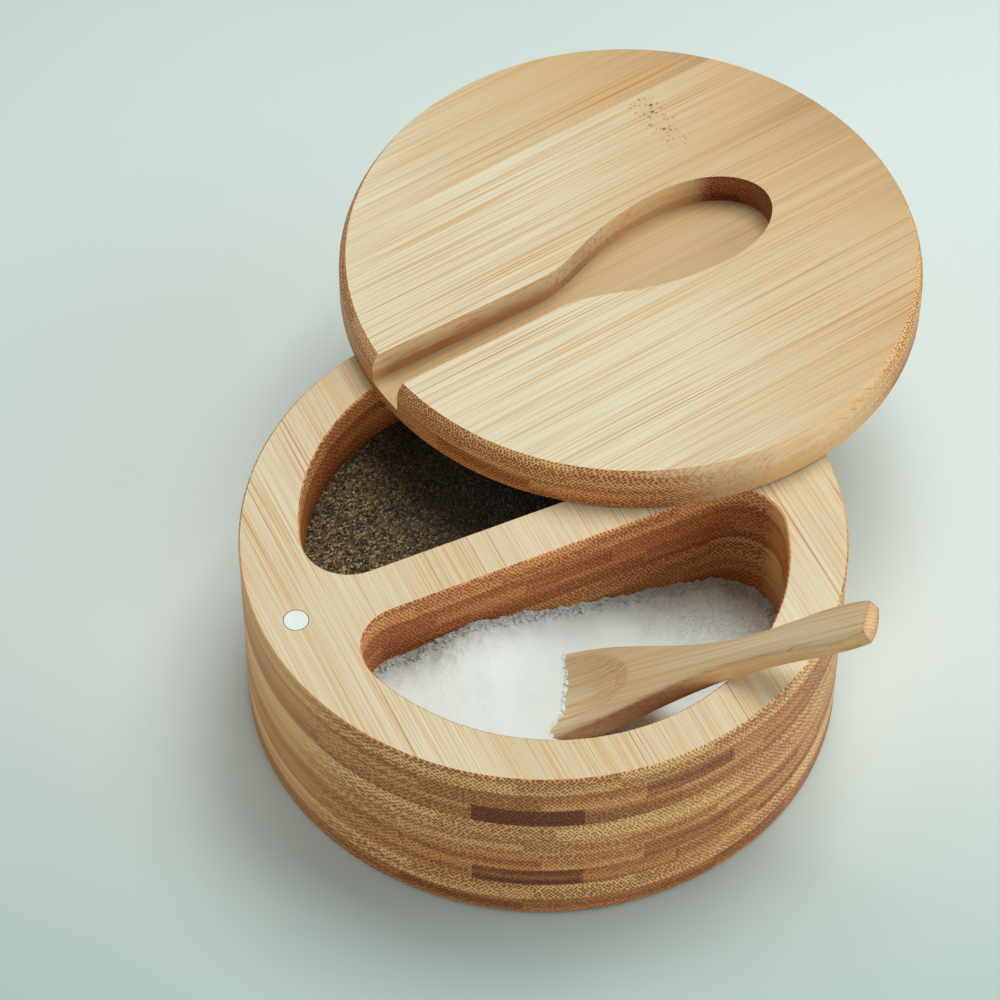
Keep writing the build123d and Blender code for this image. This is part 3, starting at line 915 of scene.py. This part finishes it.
def salt_material(name, glow):
    """Coarse salt; glow is the share of light that travels under its surface."""
    look = bpy.context.scene.salt_box_salt
    shader = Shader(name)
    space = shader.place()
    fine = look.grain / MM * 0.6
    grains = shader.noise(shader.stretch(space, (fine, fine, fine)), detail=2.0, roughness=0.6)
    cloud = shader.noise(shader.stretch(space, (7, 7, 7)), detail=3.0)
    tint = shader.mix(shader.times(cloud, 0.3), look.white, look.shade)
    x_mm, _, _ = shader.split(space)
    # painted shade: grey between the grains towards the shaded end of the heap
    seen = shader.times(shader.smooth(x_mm, *SHADED_END), shader.smooth(grains, 0.44, 0.62))
    tint = shader.mix(shader.times(seen, 0.55), tint, dimmed(look.shade, 0.72))
    shader.finish("Base Color", tint)
    shader.finish("Roughness", 0.5)
    shader.finish("Specular IOR Level", 0.4)
    shader.finish("Subsurface Weight", glow)
    shader.finish("Subsurface Radius", (1.0, 1.0, 1.0))
    shader.finish("Subsurface Scale", 0.7 * MM)
    bump = shader.bump(grains, 0.2 * MM, 0.6)

    # light that passes through the crystals makes their sides nearly as bright as their tops
    normal = shader.node("ShaderNodeNewGeometry").outputs["Normal"]
    lifted = shader.vector("MULTIPLY_ADD", normal, (look.side_share,) * 3, (0, 0, 1))
    level = shader.vector("NORMALIZE", lifted.outputs["Vector"])
    shader.put(bump.inputs["Normal"], level.outputs["Vector"])
    return shader.material


def pepper_material():
    """Ground pepper: each grain has its own shade."""
    look = bpy.context.scene.salt_box_pepper
    shader = Shader("ground pepper")
    space = shader.place()
    grain_mm = look.grain / MM
    cells = shader.cells(shader.stretch(space, (grain_mm, grain_mm, grain_mm)))
    tint = shader.ramp(
        shader.own_number(cells),
        (0.0, look.dark),
        (0.22, look.dark),
        (0.45, look.middle),
        (0.72, look.middle),
        (1.0, look.pale),
    )
    x_mm, _, _ = shader.split(space)
    # painted shade where the lid overhangs the pepper
    tint = shader.mix(shader.times(shader.smooth(x_mm, *LID_SHADE_ON_PEPPER), 0.72), tint, look.dark)
    shader.finish("Base Color", tint)
    shader.finish("Roughness", 0.8)
    shader.bump(shader.minus(1.0, cells.outputs["Distance"]), 0.35 * MM, 0.9)
    return shader.material


# Unevenness of a heap: which pattern, its size and its height in millimetres, and how fast it fades
# towards finer detail.
SALT_LUMPS, SALT_BUMPS, SALT_CLUMPS = (0.0, 9, 0.8, 1.0), (0.1, 1.1, 0.42, 0.8), (0.6, 2.6, 0.7, 0.8)
PEPPER_LUMPS, PEPPER_BUMPS = (0.4, 12, 0.6, 1.0), (0.7, 1.0, 0.25, 0.8)
# Salt is rough this close to the divider, and from this place on down its slope; elsewhere it has the
# least share of its bumps.
ROUGH_BACK, ROUGH_START, ROUGH_REACH, ROUGH_LEAST = 12 * MM, 2 * MM, 16 * MM, 0.2


def uneven(x, y, pattern):
    """Height of one of the patterns above at a place."""
    layer, size, height, fade = pattern
    return noise.fractal(Vector((x, y, layer)) / (size * MM), fade, 2.0, 2) * height * MM


class SALTBOX_OT_salt(bpy.types.Operator):
    """Heap the salt in the front compartment, with loose crystals on top"""

    bl_idname = "salt_box.salt"
    bl_label = "Salt"

    def execute(self, context):
        look = context.scene.salt_box_salt
        back = SALT_HIGH.y
        spoon_low, spoon_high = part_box("spoon")
        dip_centre = Vector((spoon_low.x + look.dip_right, spoon_high.y - look.dip_front))
        along = Vector((-math.cos(SPOON_YAW), -math.sin(SPOON_YAW)))

        def height(x, y):
            fall = max(0.0, x - look.crest) * look.slope
            ridge = look.ridge * math.exp(-(((x - look.ridge_x) / look.ridge_width) ** 2))
            away = Vector((x, y)) - dip_centre
            reach = away.dot(along) / look.dip_along
            side = (away.x * along.y - away.y * along.x) / look.dip_across
            dip = look.dip * math.exp(-(reach**2) - side**2)
            lumps = uneven(x, y, SALT_LUMPS)
            rough = max(ROUGH_LEAST, 1 - (back - y) / ROUGH_BACK, (x - ROUGH_START) / ROUGH_REACH)
            bumps = uneven(x, y, SALT_BUMPS) * min(rough, 1)
            clumps = uneven(x, y, SALT_CLUMPS) * min(rough, 1)
            return look.level - fall + ridge - dip + lumps + bumps + clumps

        salt = heap("salt_heap", SALT_LOW, SALT_HIGH, look.grid_step, height)
        finish_piece(salt, salt_material("coarse salt", 0.8), "base", "salt_fill")
        bpy.ops.object.shade_smooth()
        places = loose_places(salt, look.edge, look.loose_share, seed=4)
        loose = crystals("salt_crystals", look.grain_count, look.grain, places, seed=5, squareness=0.7)
        loose.data.materials.append(salt_material("loose salt crystals", 0.0))
        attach(loose, "base")
        return {"FINISHED"}


class SALTBOX_OT_pepper(bpy.types.Operator):
    """Fill the rear compartment with ground pepper"""

    bl_idname = "salt_box.pepper"
    bl_label = "Pepper"

    def execute(self, context):
        look = context.scene.salt_box_pepper

        def height(x, y):
            bumps = uneven(x, y, PEPPER_LUMPS) + uneven(x, y, PEPPER_BUMPS)
            return min(look.level - look.dip + bumps, look.level)

        pepper = heap("pepper_heap", PEPPER_LOW, PEPPER_HIGH, look.grid_step, height)
        material = pepper_material()
        finish_piece(pepper, material, "base", "pepper_fill")
        places = loose_places(pepper, edge=MM, share=1, seed=8)
        loose = crystals("pepper_flakes", look.grain_count, look.grain, places, seed=9, squareness=0.3)
        loose.data.materials.append(material)
        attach(loose, "base")
        return {"FINISHED"}


# ---------------------------------------- the stage
CAMERA_PLACE = Vector((-0.22741, -0.47089, 0.70004))
CAMERA_FORWARD = Vector((0.26460, 0.57265, -0.77592))
CAMERA_RIGHT = Vector((0.90846, -0.41796, 0.00133))
SENSOR_WIDTH_MM = 36.0
LEVEL_RIGHT = Vector((CAMERA_RIGHT.x, CAMERA_RIGHT.y, 0)).normalized()
LEVEL_AWAY = Vector((-LEVEL_RIGHT.y, LEVEL_RIGHT.x, 0))
LAMPS_AIM = Vector((0.02, 0.02, 0.03))
WARM, COOL, PALE_BLUE, SKY = (1.0, 0.985, 0.955), (0.97, 0.98, 1.0), (0.84, 0.95, 1.0), (0.96, 0.99, 1.0)


def add_lamp(name, right, away, up, size, power, tint):
    """Square lamp at a place given from the camera's side, aimed at the box."""
    place = LEVEL_RIGHT * right + LEVEL_AWAY * away + Vector((0, 0, up))
    lamp = bpy.data.lights.new(name, "AREA")
    lamp.shape = "SQUARE"
    lamp.size = size
    lamp.energy = power
    lamp.color = tint
    lamp_object = bpy.data.objects.new(name, lamp)
    bpy.context.scene.collection.objects.link(lamp_object)
    lamp_object.location = place
    lamp_object.rotation_euler = (LAMPS_AIM - place).to_track_quat("-Z", "Y").to_euler()


def add_camera(lens):
    camera = bpy.data.cameras.new("camera")
    camera.lens = lens
    camera.sensor_width = SENSOR_WIDTH_MM
    camera.clip_end = 20.0
    camera_object = bpy.data.objects.new("camera", camera)
    bpy.context.scene.collection.objects.link(camera_object)
    backward = -CAMERA_FORWARD.normalized()
    right = CAMERA_RIGHT.normalized()
    turn = Matrix((right, backward.cross(right), backward)).transposed()
    camera_object.matrix_world = Matrix.Translation(CAMERA_PLACE) @ turn.to_4x4()
    bpy.context.scene.camera = camera_object


def floor_material(base, far):
    """Pale table top with painted fall-off of light, which also deepens the box's shadow in front: it darkens
    towards the camera, behind the box and to the left, in millimetres.
    """
    shader = Shader("pale table top")
    space = shader.place(rotation=(0, 0, math.atan2(LEVEL_RIGHT.y, LEVEL_RIGHT.x)))
    right_mm, away_mm, _ = shader.split(space)
    near = shader.smooth(away_mm, 15, -115)
    beyond = shader.times(shader.smooth(away_mm, 90, 300), 0.5)
    left = shader.times(shader.smooth(right_mm, -50, -190), 0.35)
    # painted fall-off of light, and painted shadow in front of the box
    dim = shader.plus(shader.plus(near, beyond), left, clamp=True)
    cloud = shader.noise(shader.stretch(space, (400, 400, 400)), detail=1.0)
    tint = shader.mix(shader.times(cloud, 0.06), base, dimmed(base, 0.9))
    shader.finish("Base Color", shader.mix(dim, tint, far))
    shader.finish("Roughness", 0.7)
    shader.finish("Specular IOR Level", 0.25)
    return shader.material


def pale_world(backdrop, strength):
    """Even light from all round; camera, gloss and glass see the pale backdrop colour."""
    world = bpy.context.scene.world or bpy.data.worlds.new("studio")
    bpy.context.scene.world = world
    world.use_nodes = True
    nodes, links = world.node_tree.nodes, world.node_tree.links
    nodes.clear()
    path = nodes.new("ShaderNodeLightPath")
    seen = path.outputs["Is Camera Ray"]
    for ray in ("Is Glossy Ray", "Is Transmission Ray"):
        either = nodes.new("ShaderNodeMath")
        either.operation = "MAXIMUM"
        links.new(seen, either.inputs[0])
        links.new(path.outputs[ray], either.inputs[1])
        seen = either.outputs[0]
    choice = nodes.new("ShaderNodeMixShader")
    links.new(seen, choice.inputs["Fac"])
    for socket, tint, level in ((choice.inputs[1], SKY, strength), (choice.inputs[2], backdrop, 1.0)):
        background = nodes.new("ShaderNodeBackground")
        background.inputs["Color"].default_value = (*tint, 1)
        background.inputs["Strength"].default_value = level
        links.new(background.outputs[0], socket)
    output = nodes.new("ShaderNodeOutputWorld")
    links.new(choice.outputs[0], output.inputs["Surface"])


class SALTBOX_OT_stage(bpy.types.Operator):
    """Set up the table top, the lamps, the surroundings and the camera"""

    bl_idname = "salt_box.stage"
    bl_label = "Stage"

    def execute(self, context):
        look = context.scene.salt_box_stage
        deselect()
        bpy.ops.mesh.primitive_plane_add(size=6.0, location=(0, 0, 0))
        floor = context.object
        floor.name = floor.data.name = "table_top"
        floor.data.materials.append(floor_material(look.floor, look.floor_far))
        add_lamp("key_lamp", 0.26, 0.47, 1.32, 0.8, look.key_power, WARM)
        add_lamp("front_lamp", 0.45, -1.15, 0.28, 0.8, look.front_power, WARM)
        add_lamp("left_lamp", -1.1, 0.0, 0.75, 0.9, look.left_power, COOL)
        add_lamp("right_lamp", 1.2, 0.0, 0.5, 0.9, look.right_power, PALE_BLUE)
        pale_world(look.backdrop, look.world_strength)
        add_camera(look.lens)
        context.scene.view_settings.view_transform = "Standard"
        return {"FINISHED"}


class SALTBOX_PT_panel(bpy.types.Panel):
    """Buttons for every piece of the salt box and its stage"""

    bl_label = "Salt box"
    bl_idname = "SALTBOX_PT_panel"
    bl_space_type = "VIEW_3D"
    bl_region_type = "UI"
    bl_category = "Salt box"

    def draw(self, context):
        for operator in OPERATORS:
            self.layout.operator(operator.bl_idname)


SETTINGS = {
    "salt_box_bamboo": BambooSettings,
    "salt_box_metal": MetalSettings,
    "salt_box_plan": PlanSettings,
    "salt_box_salt": SaltSettings,
    "salt_box_pepper": PepperSettings,
    "salt_box_stage": StageSettings,
}
OPERATORS = (
    SALTBOX_OT_body_boards,
    SALTBOX_OT_lid_boards,
    SALTBOX_OT_spoon,
    SALTBOX_OT_metal_parts,
    SALTBOX_OT_salt,
    SALTBOX_OT_pepper,
    SALTBOX_OT_stage,
)


def register():
    for settings in SETTINGS.values():
        bpy.utils.register_class(settings)
    for name, settings in SETTINGS.items():
        setattr(bpy.types.Scene, name, bpy.props.PointerProperty(type=settings))
    for operator in OPERATORS:
        bpy.utils.register_class(operator)
    bpy.utils.register_class(SALTBOX_PT_panel)


def unregister():
    bpy.utils.unregister_class(SALTBOX_PT_panel)
    for operator in reversed(OPERATORS):
        bpy.utils.unregister_class(operator)
    for name in SETTINGS:
        delattr(bpy.types.Scene, name)
    for settings in SETTINGS.values():
        bpy.utils.unregister_class(settings)


def main():
    register()
    bpy.ops.salt_box.body_boards()
    bpy.ops.salt_box.lid_boards()
    bpy.ops.salt_box.spoon()
    bpy.ops.salt_box.metal_parts()
    bpy.ops.salt_box.salt()
    bpy.ops.salt_box.pepper()
    bpy.ops.salt_box.stage()


if __name__ == "__main__":
    main()
